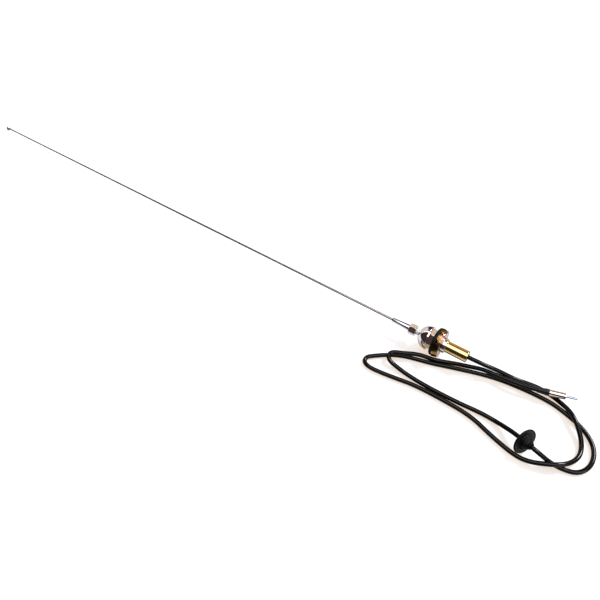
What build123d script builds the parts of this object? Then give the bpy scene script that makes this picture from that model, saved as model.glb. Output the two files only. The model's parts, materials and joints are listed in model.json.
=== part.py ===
"""Fixed-mast car antenna lying on a flat surface, with its lead, grommet and aerial plug.

Millimetres, +Z up.  Along the antenna, s is measured on the mast's own axis from the
panel seat, which is the underside of the gasket: s grows from the tip towards the lead.
The antenna rests on its claw washer and its tip ball, so its axis slopes by about a degree.
"""

from build123d import *
from math import acos, asin, atan2, cos, degrees, hypot, pi, radians, sin, sqrt, tan
import os

# Fits
RUNNING = 0.05          # radial gap of a thread or pin that turns or slides
SNUG = 0.03             # radial gap of a piece pushed into its seat
FACE_GAP = 0.10         # gap between faces that turn against each other

# Mast: ball, tapered rod, ferrule and coupling nut
BALL_R = 3.0
BALL_SPIGOT_DEPTH = 3.4
BALL_SPIGOT_R = 0.8
ROD_LENGTH = 750.0      # from the ferrule's mouth to the ball
ROD_BASE_R = 1.6
ROD_TIP_R = 1.0
FERRULE_LENGTH = 24.0
FERRULE_BASE_R = 4.05
FERRULE_MOUTH_R = 2.85
FERRULE_SOCKET_DEPTH = 16.0
FERRULE_EDGE = 0.6
FERRULE_NECK_R = 3.1
FERRULE_FLANGE_R = 4.4
FERRULE_FLANGE_LENGTH = 1.9
NUT_FLATS = 12.4
NUT_LENGTH = 9.4
NUT_LIP = 1.5           # rolled lip that holds the ferrule's flange
NUT_CHAMFER = 0.7

# Stud and the insulators round it
STUD_R = 2.5
STUD_FLANGE_R = 4.4
STUD_FLANGE_LENGTH = 1.6
STUD_TAIL_R = 1.5
STUD_TAIL_LENGTH = 16.4
SOLDER_CUP_DEPTH = 5.0
NECK_R = 3.5
NECK_GAP = 2.8          # neck that shows between the cap's crown and the coupling nut
INSULATOR_HEAD_R = 6.4
INSULATOR_HEAD_LENGTH = 3.0
UPPER_INSULATOR_DEPTH = 8.4
LOWER_INSULATOR_LENGTH = 21.4

# Cap nut: dome over a hexagon
DOME_R = 15.3
DOME_SKIRT = 0.8
DOME_EDGE_FILLET = 0.35
CAP_HEX_FLATS = 22.0
CAP_HEX_LENGTH = 5.6
CAP_HEX_TURN = 45.0
CAP_THREAD_DEPTH = 12.0
CAP_CAVITY_R = 6.7
CAP_CAVITY_DEPTH = 4.6
SEAL_R = 5.2
SEAL_LENGTH = 2.2

# Gasket, body and claw washer
GASKET_R = 17.8
GASKET_LENGTH = 4.6
GASKET_EDGE = 1.4
BODY_THREAD_R = 8.0
BODY_BORE_R = 5.3
BODY_TOP = 11.0         # body above the gasket's top face
COLLAR_R = 9.3
COLLAR_LENGTH = 5.2
SPIGOT_R = 6.3
SPIGOT_LENGTH = 6.0
CLAW_R = 18.5
CLAW_DEPTH = 6.6
CLAW_FLOOR_R = 17.5
CLAW_SHEET = 1.2
CLAW_COUNT = 10
CLAW_SLOT_MOUTH = 4.6
CLAW_SLOT_ROOT = 1.8
CLAW_SLOT_DEPTH = 4.6

# Lower sleeve and the lead's end in it
SLEEVE_R = 7.25
SLEEVE_WALL = 0.9
SLEEVE_LENGTH = 27.2
SLEEVE_CHAMFER = 0.35
BUSH_LENGTH = 7.9
CLAMP_LENGTH = 7.5
CLAMP_FLANGE_LENGTH = 3.5
CLAMP_NECK_R = 3.0
STRIPPED_LENGTH = 11.5
BARE_WIRE_LENGTH = 14.0

# Lead: a coaxial cable
CABLE_R = 2.65
DIELECTRIC_R = 1.7
CONDUCTOR_R = 0.5
FIRST_STRAIGHT = 21.5
BEND_SHARE = 0.45       # of the shorter run beside a bend that its arc takes up

# Panel grommet on the lead
GROMMET_R = 15.2
GROMMET_FLANGE = 2.6
GROMMET_HUB_R = 6.3
GROMMET_HUB_LENGTH = 6.5
GROMMET_NOSE_R = 4.9
GROMMET_NOSE_LENGTH = 5.5
GROMMET_REAR_R = 5.2
GROMMET_REAR_LENGTH = 2.6
GROMMET_BORE_NARROW = 2.95
GROMMET_BORE_WIDE = 4.4
GROMMET_BORE_REAR = 3.6
GROMMET_LEAN = 19.0     # degrees above level
GROMMET_HEADING = -27.0
GROMMET_PLACE = (134.9, -62.85)

# Aerial plug on the lead's far end
PLUG_PLACE = (122.6, 9.95, 10.8)
PLUG_HEADING = 18.4
BOOT_LENGTH = 13.0
BOOT_BACK_R = 3.3
BOOT_FRONT_R = 4.1
BOOT_GRIP = 10.0        # length of cable held in the boot
SHELL_LENGTH = 18.2
SHELL_R = 3.85
SHELL_WALL = 0.5
SHELL_TAIL_LENGTH = 2.8
SHELL_TAIL_R = 2.4
SHELL_GROOVE = 0.4        # narrow neck between the boot and the barrel
PLUG_INSULATOR_LENGTH = 5.2
PIN_R = 1.4
PIN_LENGTH = 13.6       # beyond the shell
PIN_ROOT = 10.2         # inside the shell
PIN_ROOT_R = 1.8
PIN_SOCKET_DEPTH = 4.0
PLUG_STRIPPED = 9.8
PLUG_BARE_WIRE = 13.0
PLUG_LAST_STRAIGHT = 6.0

# Lead's route: x and y from the seat, z from the surface that it lies on
LEAD_ROUTE = [
    (76.9, 8, 12), (95.9, 14.3, 3.6), (121.9, 20.2, CABLE_R), (140.9, 18.1, CABLE_R),
    (153.9, 12.8, 4.6), (163.9, 5.2, 13.3), (173.4, -3.8, 13.3), (182.4, -14.8, 9),
    (188.9, -26.8, 4.5), (190.4, -40.2, 5), (184.4, -54.2, 9), (174.9, -65, 13.3),
    (162.6, -72.7, 10.8), (148.9, -77.5, 5.2), (132.9, -78.5, CABLE_R), (102.9, -70.2, CABLE_R),
    (73.9, -59.8, CABLE_R), (35.9, -58.9, CABLE_R), (2.9, -60, CABLE_R), (-18.1, -63.9, CABLE_R),
    (-38.1, -67.2, CABLE_R), (-54.1, -68.7, CABLE_R), (-63.1, -65.4, CABLE_R),
    (-64.3, -57.6, CABLE_R), (-57.4, -51, CABLE_R), (-44.1, -39.8, CABLE_R),
    (-28.1, -30.8, CABLE_R), (-11.1, -25.6, CABLE_R), (6.4, -20.7, CABLE_R),
    (30.9, -11.3, CABLE_R), (69.9, 2.1, CABLE_R), (101.9, 7.2, CABLE_R), (138.9, 9.2, CABLE_R),
    (160.9, 4.5, CABLE_R), (180.4, -2.2, CABLE_R), (195.4, -12.8, CABLE_R),
    (203.4, -27.2, CABLE_R), (203.9, -44.8, CABLE_R), (194.9, -58.8, CABLE_R),
    (180.9, -63, CABLE_R), (166.7, -64.5, 4.6), (151.3, -70.5, 20.2), (125.4, -58.4, 11.6),
    (111.4, -53.2, 6.2), (96.9, -50, CABLE_R), (81.9, -49.6, CABLE_R), (52.9, -52.5, CABLE_R),
    (15.9, -53.6, CABLE_R), (-11.1, -52.2, CABLE_R), (-28.1, -49.8, 4.5), (-37.4, -48.8, 7.8),
    (-42.3, -43.9, 11), (-41.2, -37.2, 13.3), (-28.6, -31.2, 13.3), (-12.8, -21.2, 9),
    (6.4, -14.8, CABLE_R), (27.9, -5.2, CABLE_R), (43.9, -0.1, 3.6), (59.9, 2.8, 7.6),
    (77.9, 3.4, 8.8), (94.9, 3.8, 10.6),
]

# Places along the axis, worked out from the sizes above
gasket_top = -GASKET_LENGTH
hex_top = gasket_top - CAP_HEX_LENGTH
dome_centre = hex_top - DOME_SKIRT
crown = dome_centre - sqrt(DOME_R**2 - (NECK_R + RUNNING) ** 2)
nut_bottom = crown - NECK_GAP
nut_top = nut_bottom - NUT_LENGTH
flange_top = nut_top + NUT_LIP + FACE_GAP
flange_bottom = flange_top + FERRULE_FLANGE_LENGTH
cone_base = nut_top - FACE_GAP
rod_mouth = cone_base - FERRULE_LENGTH
rod_end = rod_mouth - ROD_LENGTH
ball_centre = rod_end - BALL_R
rod_shoulder = ball_centre + sqrt(BALL_R**2 - ROD_TIP_R**2) - FACE_GAP
stud_top = flange_bottom + FACE_GAP
body_top = gasket_top - BODY_TOP
thread_end = gasket_top - CAP_THREAD_DEPTH
cavity_end = thread_end - CAP_CAVITY_DEPTH
seal_top = cavity_end - SEAL_LENGTH
stud_flange_top = body_top + UPPER_INSULATOR_DEPTH
stud_flange_bottom = stud_flange_top + STUD_FLANGE_LENGTH
tail_end = stud_flange_bottom + STUD_TAIL_LENGTH
collar_top = CLAW_DEPTH
collar_bottom = collar_top + COLLAR_LENGTH
sleeve_end = collar_bottom + SLEEVE_LENGTH
jacket_end = sleeve_end - BUSH_LENGTH

# Rest on the surface: two claw corners and the tip ball touch it
claw_drop = sqrt(CLAW_R**2 - (CLAW_SLOT_MOUTH / 2) ** 2)
tilt = acos(BALL_R / hypot(claw_drop, -ball_centre)) - atan2(-ball_centre, claw_drop)
seat_height = BALL_R - ball_centre * sin(tilt)
front_reach = ball_centre * cos(tilt) - BALL_R
back_reach = sleeve_end * cos(tilt) + SLEEVE_R * sin(tilt)
seat_x = -(front_reach + back_reach) / 2


def turned(points):
    """A solid of revolution about the X axis from (s, radius) points."""
    return revolve(make_face(Polyline(points, close=True)), Axis.X)


def tube(start, end, outer, inner):
    """A plain ring or tube along X."""
    return turned([(start, inner), (end, inner), (end, outer), (start, outer)])


def hexagon(start, end, flats, turn):
    """A hexagonal bar along X with one corner at turn degrees from +Y."""
    section = Plane.YZ.offset(start) * Rot(0, 0, turn) * RegularPolygon(flats / 2, 6, major_radius=False)
    return extrude(section, end - start)


def corner_cone(start, end, flats, chamfer):
    """The turned blank that chamfers the corners of a hexagon at both ends."""
    corner = flats / sqrt(3)
    return turned([(start, 0), (start, flats / 2), (start + chamfer, corner), (end - chamfer, corner),
                   (end, flats / 2), (end, 0)])


def seat_mast(shape):
    """Place a piece that was drawn on the level axis."""
    return Pos(seat_x, 0, seat_height) * Rot(0, -degrees(tilt), 0) * shape


def along(place, heading, lean=0):
    """Location whose X axis points along heading and rises by lean, both in degrees."""
    return Pos(*place) * Rot(0, 0, heading) * Rot(0, -lean, 0)


# Mast


def make_tip_ball():
    ball = Pos(ball_centre, 0, 0) * Sphere(BALL_R)
    spigot_end = rod_end - BALL_SPIGOT_DEPTH
    ball -= tube(rod_shoulder, rod_end + BALL_R, ROD_TIP_R + SNUG, 0)
    return ball - tube(spigot_end - FACE_GAP, rod_shoulder, BALL_SPIGOT_R + SNUG, 0)


def make_mast_rod():
    spigot_end = rod_end - BALL_SPIGOT_DEPTH
    return turned([
        (spigot_end, 0), (spigot_end, BALL_SPIGOT_R), (rod_shoulder, BALL_SPIGOT_R),
        (rod_shoulder, ROD_TIP_R),
        (rod_mouth, ROD_BASE_R), (rod_mouth + FERRULE_SOCKET_DEPTH, ROD_BASE_R),
        (rod_mouth + FERRULE_SOCKET_DEPTH, 0),
    ])


def make_mast_ferrule():
    lip = FERRULE_EDGE
    outline = turned([
        (rod_mouth, 0), (rod_mouth, FERRULE_MOUTH_R - lip), (rod_mouth + lip, FERRULE_MOUTH_R),
        (cone_base - lip, FERRULE_BASE_R), (cone_base, FERRULE_BASE_R - lip),
        (cone_base, FERRULE_NECK_R), (flange_top, FERRULE_NECK_R), (flange_top, FERRULE_FLANGE_R),
        (flange_bottom, FERRULE_FLANGE_R), (flange_bottom, 0),
    ])
    return outline - tube(rod_mouth, rod_mouth + FERRULE_SOCKET_DEPTH, ROD_BASE_R + SNUG, 0)


def make_coupling_nut():
    blank = hexagon(nut_top, nut_bottom, NUT_FLATS, CAP_HEX_TURN)
    blank = blank & corner_cone(nut_top, nut_bottom, NUT_FLATS, NUT_CHAMFER)
    chamber_top = nut_top + NUT_LIP
    chamber_bottom = flange_bottom + 2 * FACE_GAP
    blank -= tube(nut_top, chamber_top, FERRULE_NECK_R + RUNNING, 0)
    blank -= tube(chamber_top, chamber_bottom, FERRULE_FLANGE_R + 2 * RUNNING, 0)
    return blank - tube(chamber_bottom, nut_bottom, STUD_R + RUNNING, 0)


# Stud and insulators


def make_mast_stud():
    cup = 0.6
    stud = turned([
        (stud_top, 0), (stud_top, STUD_R - cup), (stud_top + cup, STUD_R), (stud_flange_top, STUD_R),
        (stud_flange_top, STUD_FLANGE_R), (stud_flange_bottom, STUD_FLANGE_R),
        (stud_flange_bottom, STUD_TAIL_R), (tail_end, STUD_TAIL_R), (tail_end, 0),
    ])
    return stud - tube(tail_end - SOLDER_CUP_DEPTH, tail_end, CONDUCTOR_R + RUNNING, 0)


def make_upper_insulator():
    head_top = body_top - INSULATOR_HEAD_LENGTH
    neck_top = nut_bottom + FACE_GAP
    bore = STUD_R + SNUG
    return turned([
        (neck_top, bore), (neck_top, NECK_R), (head_top, NECK_R), (head_top, INSULATOR_HEAD_R),
        (body_top, INSULATOR_HEAD_R), (body_top, BODY_BORE_R - SNUG),
        (stud_flange_top, BODY_BORE_R - SNUG), (stud_flange_top, bore),
    ])


def make_lower_insulator():
    end = stud_flange_bottom + LOWER_INSULATOR_LENGTH
    return tube(stud_flange_bottom, end, BODY_BORE_R - SNUG, STUD_TAIL_R + SNUG)


# Cap nut and its seal


def make_cap_nut():
    neck_hole = NECK_R + RUNNING
    skirt_angle = acos(neck_hole / DOME_R)
    mid = skirt_angle / 2
    dome_outline = [
        Line((hex_top, 0), (hex_top, DOME_R)),
        Line((hex_top, DOME_R), (dome_centre, DOME_R)),
        ThreePointArc(
            (dome_centre, DOME_R),
            (dome_centre - DOME_R * sin(mid), DOME_R * cos(mid)),
            (dome_centre - DOME_R * sin(skirt_angle), DOME_R * cos(skirt_angle)),
        ),
        Line((crown, neck_hole), (crown, 0)),
        Line((crown, 0), (hex_top, 0)),
    ]
    dome = revolve(make_face(dome_outline), Axis.X)
    corner = CAP_HEX_FLATS / sqrt(3)
    nut = hexagon(hex_top, gasket_top, CAP_HEX_FLATS, CAP_HEX_TURN)
    nut = nut & turned([(hex_top, 0), (hex_top, corner), (gasket_top - 0.6, corner),
                        (gasket_top, CAP_HEX_FLATS / 2), (gasket_top, 0)])
    cap = dome + nut
    cap -= tube(thread_end, gasket_top, BODY_THREAD_R + RUNNING, 0)
    cap -= tube(cavity_end, thread_end, CAP_CAVITY_R, 0)
    cap -= tube(seal_top, cavity_end, SEAL_R, 0)
    return cap - tube(crown, seal_top, neck_hole, 0)


def make_neck_seal():
    return tube(seal_top, cavity_end, SEAL_R - SNUG, NECK_R + RUNNING)


# Gasket, body and claw washer


def make_seat_gasket():
    inner = BODY_THREAD_R + 2 * RUNNING
    ring = turned([
        (gasket_top, inner), (gasket_top, GASKET_R - GASKET_EDGE), (gasket_top + GASKET_EDGE, GASKET_R),
        (0, GASKET_R), (0, inner),
    ])
    return fillet(ring.edges().filter_by(GeomType.CIRCLE).sort_by(SortBy.RADIUS)[-2:], 0.5)


def make_threaded_body():
    chamfer_size = 0.8
    spigot_end = collar_bottom + SPIGOT_LENGTH
    return turned([
        (body_top, BODY_BORE_R), (body_top, BODY_THREAD_R - chamfer_size),
        (body_top + chamfer_size, BODY_THREAD_R), (collar_top, BODY_THREAD_R),
        (collar_top, COLLAR_R - 0.4), (collar_top + 0.4, COLLAR_R), (collar_bottom - 0.4, COLLAR_R),
        (collar_bottom, COLLAR_R - 0.4), (collar_bottom, SPIGOT_R), (spigot_end, SPIGOT_R),
        (spigot_end, BODY_BORE_R),
    ])


def make_claw_washer():
    hole = BODY_THREAD_R + RUNNING
    dish = turned([
        (CLAW_DEPTH, hole), (CLAW_DEPTH, CLAW_FLOOR_R - CLAW_SHEET),
        (CLAW_DEPTH - CLAW_SHEET, CLAW_FLOOR_R), (0, CLAW_R), (0, CLAW_R - CLAW_SHEET),
        (CLAW_DEPTH - CLAW_SHEET, CLAW_FLOOR_R - CLAW_SHEET), (CLAW_DEPTH - CLAW_SHEET, hole),
    ])
    slot_outline = Polyline(
        (-1, -CLAW_SLOT_MOUTH / 2), (0, -CLAW_SLOT_MOUTH / 2), (CLAW_SLOT_DEPTH, -CLAW_SLOT_ROOT / 2),
        (CLAW_SLOT_DEPTH, CLAW_SLOT_ROOT / 2), (0, CLAW_SLOT_MOUTH / 2), (-1, CLAW_SLOT_MOUTH / 2),
        close=True,
    )
    slot = extrude(make_face(slot_outline), -CLAW_R - 1)
    for index in range(CLAW_COUNT):
        dish -= Rot(360 * index / CLAW_COUNT, 0, 0) * slot
    return dish


# Lower sleeve and the lead's end inside it


def make_lower_sleeve():
    edge = SLEEVE_CHAMFER
    bore = SLEEVE_R - SLEEVE_WALL
    return turned([
        (collar_bottom, bore), (collar_bottom, SLEEVE_R), (sleeve_end - edge, SLEEVE_R),
        (sleeve_end, SLEEVE_R - edge), (sleeve_end, bore),
    ])


def make_cable_bush():
    return tube(jacket_end, sleeve_end, SLEEVE_R - SLEEVE_WALL - SNUG, CABLE_R + SNUG)


def make_braid_clamp():
    start = jacket_end - CLAMP_LENGTH
    step = jacket_end - CLAMP_FLANGE_LENGTH
    bore = DIELECTRIC_R + SNUG
    flange = SLEEVE_R - SLEEVE_WALL - SNUG
    return turned([
        (start, bore), (start, CLAMP_NECK_R), (step, CLAMP_NECK_R), (step, flange),
        (jacket_end, flange), (jacket_end, bore),
    ])


def make_cable_dielectric():
    return tube(jacket_end - STRIPPED_LENGTH, jacket_end, DIELECTRIC_R, CONDUCTOR_R + SNUG)


def make_conductor():
    start = jacket_end - STRIPPED_LENGTH - BARE_WIRE_LENGTH
    return tube(max(start, tail_end - SOLDER_CUP_DEPTH + FACE_GAP), jacket_end, CONDUCTOR_R, 0)


# Grommet


def make_grommet():
    half = GROMMET_FLANGE / 2
    hub_end = half + GROMMET_HUB_LENGTH
    nose_end = hub_end + GROMMET_NOSE_LENGTH
    rear = -half - GROMMET_REAR_LENGTH
    body = turned([
        (rear, 0), (rear, GROMMET_REAR_R - 1), (-half, GROMMET_REAR_R + 0.6), (-half, GROMMET_R - 0.8),
        (-half + 0.8, GROMMET_R), (half - 0.8, GROMMET_R), (half, GROMMET_R - 0.8),
        (half, GROMMET_HUB_R + 0.8), (half + 0.8, GROMMET_HUB_R), (hub_end - 0.8, GROMMET_HUB_R),
        (hub_end, GROMMET_HUB_R - 0.8), (hub_end, GROMMET_NOSE_R - 0.5),
        (nose_end - 1.6, GROMMET_NOSE_R - 0.5), (nose_end - 1.4, GROMMET_NOSE_R),
        (nose_end - 0.3, GROMMET_NOSE_R), (nose_end, GROMMET_NOSE_R - 0.3), (nose_end, 0),
    ])
    bore = turned([(rear, 0), (rear, GROMMET_BORE_REAR), (0, GROMMET_BORE_NARROW),
                   (nose_end, GROMMET_BORE_WIDE), (nose_end, 0)])
    height = GROMMET_R * cos(radians(GROMMET_LEAN)) + half * sin(radians(GROMMET_LEAN))
    place = (seat_x + GROMMET_PLACE[0], GROMMET_PLACE[1], height)
    return along(place, GROMMET_HEADING, GROMMET_LEAN) * (body - bore)


# Aerial plug, drawn along X from the back of its boot

plug_location = along((seat_x + PLUG_PLACE[0], PLUG_PLACE[1], PLUG_PLACE[2]), PLUG_HEADING)
shell_end = BOOT_LENGTH + SHELL_LENGTH
pin_root = shell_end - PIN_ROOT


def make_plug_boot():
    boot = turned([
        (0, 0), (0, BOOT_BACK_R - 0.5), (0.5, BOOT_BACK_R), (BOOT_LENGTH - 4, BOOT_FRONT_R),
        (BOOT_LENGTH, BOOT_FRONT_R), (BOOT_LENGTH, 0),
    ])
    boot -= tube(0, BOOT_GRIP, CABLE_R + SNUG, 0)
    return boot - tube(BOOT_GRIP, BOOT_LENGTH, SHELL_TAIL_R + SNUG, 0)


def make_plug_shell():
    bore = DIELECTRIC_R + SNUG
    inner = SHELL_R - SHELL_WALL
    back_wall = BOOT_LENGTH + 1.0
    return turned([
        (BOOT_LENGTH - SHELL_TAIL_LENGTH, bore), (BOOT_LENGTH - SHELL_TAIL_LENGTH, SHELL_TAIL_R),
        (BOOT_LENGTH, SHELL_TAIL_R), (BOOT_LENGTH, SHELL_R - SHELL_GROOVE),
        (BOOT_LENGTH + SHELL_GROOVE, SHELL_R - SHELL_GROOVE), (BOOT_LENGTH + SHELL_GROOVE, SHELL_R),
        (shell_end - 0.3, SHELL_R),
        (shell_end, SHELL_R - 0.3), (shell_end, inner), (back_wall, inner), (back_wall, bore),
    ])


def make_plug_insulator():
    bore = PIN_ROOT_R + SNUG
    return tube(shell_end - PLUG_INSULATOR_LENGTH, shell_end, SHELL_R - SHELL_WALL - SNUG, bore)


def make_plug_pin():
    tip = shell_end + PIN_LENGTH
    nose = PIN_R * sin(pi / 4)
    outline = [
        Line((pin_root, 0), (pin_root, PIN_ROOT_R)),
        Line((pin_root, PIN_ROOT_R), (shell_end, PIN_ROOT_R)),
        Line((shell_end, PIN_ROOT_R), (shell_end, PIN_R)),
        Line((shell_end, PIN_R), (tip - PIN_R, PIN_R)),
        ThreePointArc((tip - PIN_R, PIN_R), (tip - PIN_R + nose, nose), (tip, 0)),
        Line((tip, 0), (pin_root, 0)),
    ]
    pin = revolve(make_face(outline), Axis.X)
    return pin - tube(pin_root, pin_root + PIN_SOCKET_DEPTH, CONDUCTOR_R + RUNNING, 0)


def make_plug_dielectric():
    return tube(BOOT_GRIP, BOOT_GRIP + PLUG_STRIPPED, DIELECTRIC_R, CONDUCTOR_R + SNUG)


def make_plug_conductor():
    return tube(BOOT_GRIP, BOOT_GRIP + PLUG_BARE_WIRE, CONDUCTOR_R, 0)


# Lead


def on_axis(s):
    """The point of the sloping antenna axis at s."""
    return Vector(seat_x + s * cos(tilt), 0, seat_height + s * sin(tilt))


def lead_points():
    """Corners of the lead's route, from the jacket's end in the sleeve to its end in the boot."""
    start = [on_axis(jacket_end), on_axis(jacket_end + FIRST_STRAIGHT)]
    middle = [Vector(seat_x + x, y, z) for x, y, z in LEAD_ROUTE]
    end = [(plug_location * Pos(x, 0, 0)).position for x in (-PLUG_LAST_STRAIGHT, BOOT_GRIP)]
    return start + middle + end


def bend_radii(points):
    """Radius of the arc at each corner, as large as its two runs allow."""
    radii = []
    for before, corner, after in zip(points, points[1:], points[2:]):
        turn = radians((corner - before).get_angle(after - corner))
        shorter = min((corner - before).length, (after - corner).length)
        radii.append(BEND_SHARE * shorter / tan(turn / 2))
    return radii


def make_antenna_cable():
    points = lead_points()
    radii = bend_radii(points)
    path = FilletPolyline(*points, radius=radii)
    section = Plane(path @ 0, z_dir=path % 0) * Circle(CABLE_R)
    cable = sweep(section, path)
    print("lead bend radii:", [round(r, 1) for r in radii])
    print("lead length", round(path.length, 1), "volume ratio",
          round(cable.volume / (pi * CABLE_R**2 * path.length), 4))
    return cable


on_the_mast_axis = {
    "tip_ball": make_tip_ball,
    "mast_rod": make_mast_rod,
    "mast_ferrule": make_mast_ferrule,
    "coupling_nut": make_coupling_nut,
    "mast_stud": make_mast_stud,
    "upper_insulator": make_upper_insulator,
    "lower_insulator": make_lower_insulator,
    "cap_nut": make_cap_nut,
    "neck_seal": make_neck_seal,
    "seat_gasket": make_seat_gasket,
    "threaded_body": make_threaded_body,
    "claw_washer": make_claw_washer,
    "lower_sleeve": make_lower_sleeve,
    "cable_bush": make_cable_bush,
    "braid_clamp": make_braid_clamp,
    "cable_dielectric": make_cable_dielectric,
    "centre_conductor": make_conductor,
}
on_the_plug_axis = {
    "plug_boot": make_plug_boot,
    "plug_shell": make_plug_shell,
    "plug_insulator": make_plug_insulator,
    "plug_pin": make_plug_pin,
    "plug_dielectric": make_plug_dielectric,
    "plug_conductor": make_plug_conductor,
}

parts = {name: seat_mast(make()) for name, make in on_the_mast_axis.items()}
parts.update({name: plug_location * make() for name, make in on_the_plug_axis.items()})
parts["grommet"] = make_grommet()
parts["antenna_cable"] = make_antenna_cable()

os.makedirs("parts", exist_ok=True)
for name, solid in parts.items():
    export_step(solid, f"parts/{name}.step")
print("tilt", round(degrees(tilt), 3), "seat at x", round(seat_x, 3), "z", round(seat_height, 3))
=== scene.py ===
"""Looks of a fixed-mast car antenna that lies on a pale floor with its lead, grommet and plug.

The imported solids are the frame.  This script gives them finishes, adds the fine forms that the
solids leave out, and lays the lead on one smooth line.  Blender's lengths are metres in the
part's frame.  The pieces' sizes are millimetres: s runs along a piece's own axis, on the mast
from the panel seat towards the lead, and r is the distance from that axis.
"""

import json
import logging
import math
from dataclasses import dataclass, field
from enum import Enum
from typing import Protocol

import bmesh
import bpy
from mathutils import Matrix, Vector

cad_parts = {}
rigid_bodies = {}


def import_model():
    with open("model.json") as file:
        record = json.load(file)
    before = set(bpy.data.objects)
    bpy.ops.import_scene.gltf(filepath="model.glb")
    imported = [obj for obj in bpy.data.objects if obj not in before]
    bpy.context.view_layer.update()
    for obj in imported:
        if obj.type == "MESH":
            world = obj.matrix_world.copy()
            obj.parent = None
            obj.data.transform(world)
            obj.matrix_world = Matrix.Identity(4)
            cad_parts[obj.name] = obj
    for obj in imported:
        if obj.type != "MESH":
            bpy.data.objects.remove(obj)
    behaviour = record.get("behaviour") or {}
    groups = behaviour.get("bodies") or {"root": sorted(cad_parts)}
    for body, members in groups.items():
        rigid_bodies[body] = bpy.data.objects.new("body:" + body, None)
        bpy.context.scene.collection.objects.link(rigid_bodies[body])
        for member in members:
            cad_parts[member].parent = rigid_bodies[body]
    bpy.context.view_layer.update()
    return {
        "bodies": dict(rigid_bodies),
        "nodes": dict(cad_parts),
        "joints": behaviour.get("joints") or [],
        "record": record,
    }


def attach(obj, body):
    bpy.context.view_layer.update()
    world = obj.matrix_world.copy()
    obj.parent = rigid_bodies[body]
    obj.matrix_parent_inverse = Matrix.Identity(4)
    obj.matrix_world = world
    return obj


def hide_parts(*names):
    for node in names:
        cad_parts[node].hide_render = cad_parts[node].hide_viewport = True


Pair = tuple[float, float]
Triple = tuple[float, float, float]
Corner = tuple[float, float, float]
Film = tuple[tuple[float, Triple], ...]
Socket = bpy.types.NodeSocket

LOG = logging.getLogger("car_antenna")
MM = 0.001
ON_AXIS = 1e-6
WELD = 0.0005
CHAMFER_STEPS = 6
HEX_SEGMENTS = 192
HEX_SHARP = 26.0
WHITE = (1.0, 1.0, 1.0, 1.0)

SEAT = Vector((389.454, 0.0, 18.353)) * MM
TILT = math.radians(1.079)
CAMERA_PLACE = Vector((496.674, -444.53, 605.0)) * MM
CAMERA_RIGHT = Vector((0.8205, 0.5717, 0.0))
CAMERA_UP = Vector((-0.43796, 0.62850, 0.64279))


class Slot(Enum):
    """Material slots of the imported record."""

    ROD = "stainless_rod"
    CHROME = "bright_chrome"
    RUBBER = "black_rubber"
    ZINC = "yellow_zinc"
    STEEL = "bright_steel"
    INSULATOR = "white_insulator"
    JACKET = "black_jacket"
    DIELECTRIC = "pale_dielectric"
    COPPER = "bare_copper"
    BOOT = "boot_plastic"
    NICKEL = "nickel_plate"


# ----- node trees


class Graph:
    """A node tree with short calls for adding linked nodes."""

    def __init__(self, tree: bpy.types.NodeTree) -> None:
        """Keep the tree.

        Args:
            tree: node tree that receives the nodes.
        """
        self.tree = tree

    def add(self, kind: str, inputs: dict[str | int, object] | None = None,
            **values: object) -> bpy.types.Node:
        """Add a node, set its attributes, and link or set its inputs.

        Args:
            kind: node type name.
            inputs: socket name or number to a socket or a plain value.
            values: attribute names and values.

        Returns:
            The node.
        """
        node = self.tree.nodes.new(kind)
        for name, value in values.items():
            setattr(node, name, value)
        for key, value in (inputs or {}).items():
            if isinstance(value, Socket):
                self.tree.links.new(value, node.inputs[key])
            else:
                node.inputs[key].default_value = value
        return node

    def maths(self, operation: str, one: object, two: object = 0.0) -> Socket:
        """A math node's result for two sockets or numbers."""
        return self.add("ShaderNodeMath", {0: one, 1: two}, operation=operation).outputs[0]

    def eased(self, value: Socket, start: float, end: float) -> Socket:
        """A smooth step from 0 at start to 1 at end."""
        places = {"Value": value, "From Min": start, "From Max": end}
        return self.add("ShaderNodeMapRange", places, interpolation_type="SMOOTHSTEP").outputs["Result"]

    def blend(self, share: Socket, one: object, two: Triple) -> Socket:
        """A colour that goes from one to two as the share rises."""
        inputs = {"Factor": share, "A": one, "B": (*two, 1.0)}
        return self.add("ShaderNodeMix", inputs, data_type="RGBA").outputs["Result"]

    def ramp(self, value: Socket, stops: Film) -> Socket:
        """Colours by value.

        Args:
            value: socket that drives the ramp.
            stops: positions and colours.

        Returns:
            The colour socket.
        """
        node = self.add("ShaderNodeValToRGB", {"Fac": value})
        points = node.color_ramp.elements
        while len(points) < len(stops):
            points.new(0.5)
        for point, (position, colour) in zip(points, stops):
            point.position = position
            point.color = (*colour, 1.0)
        return node.outputs["Color"]


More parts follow.
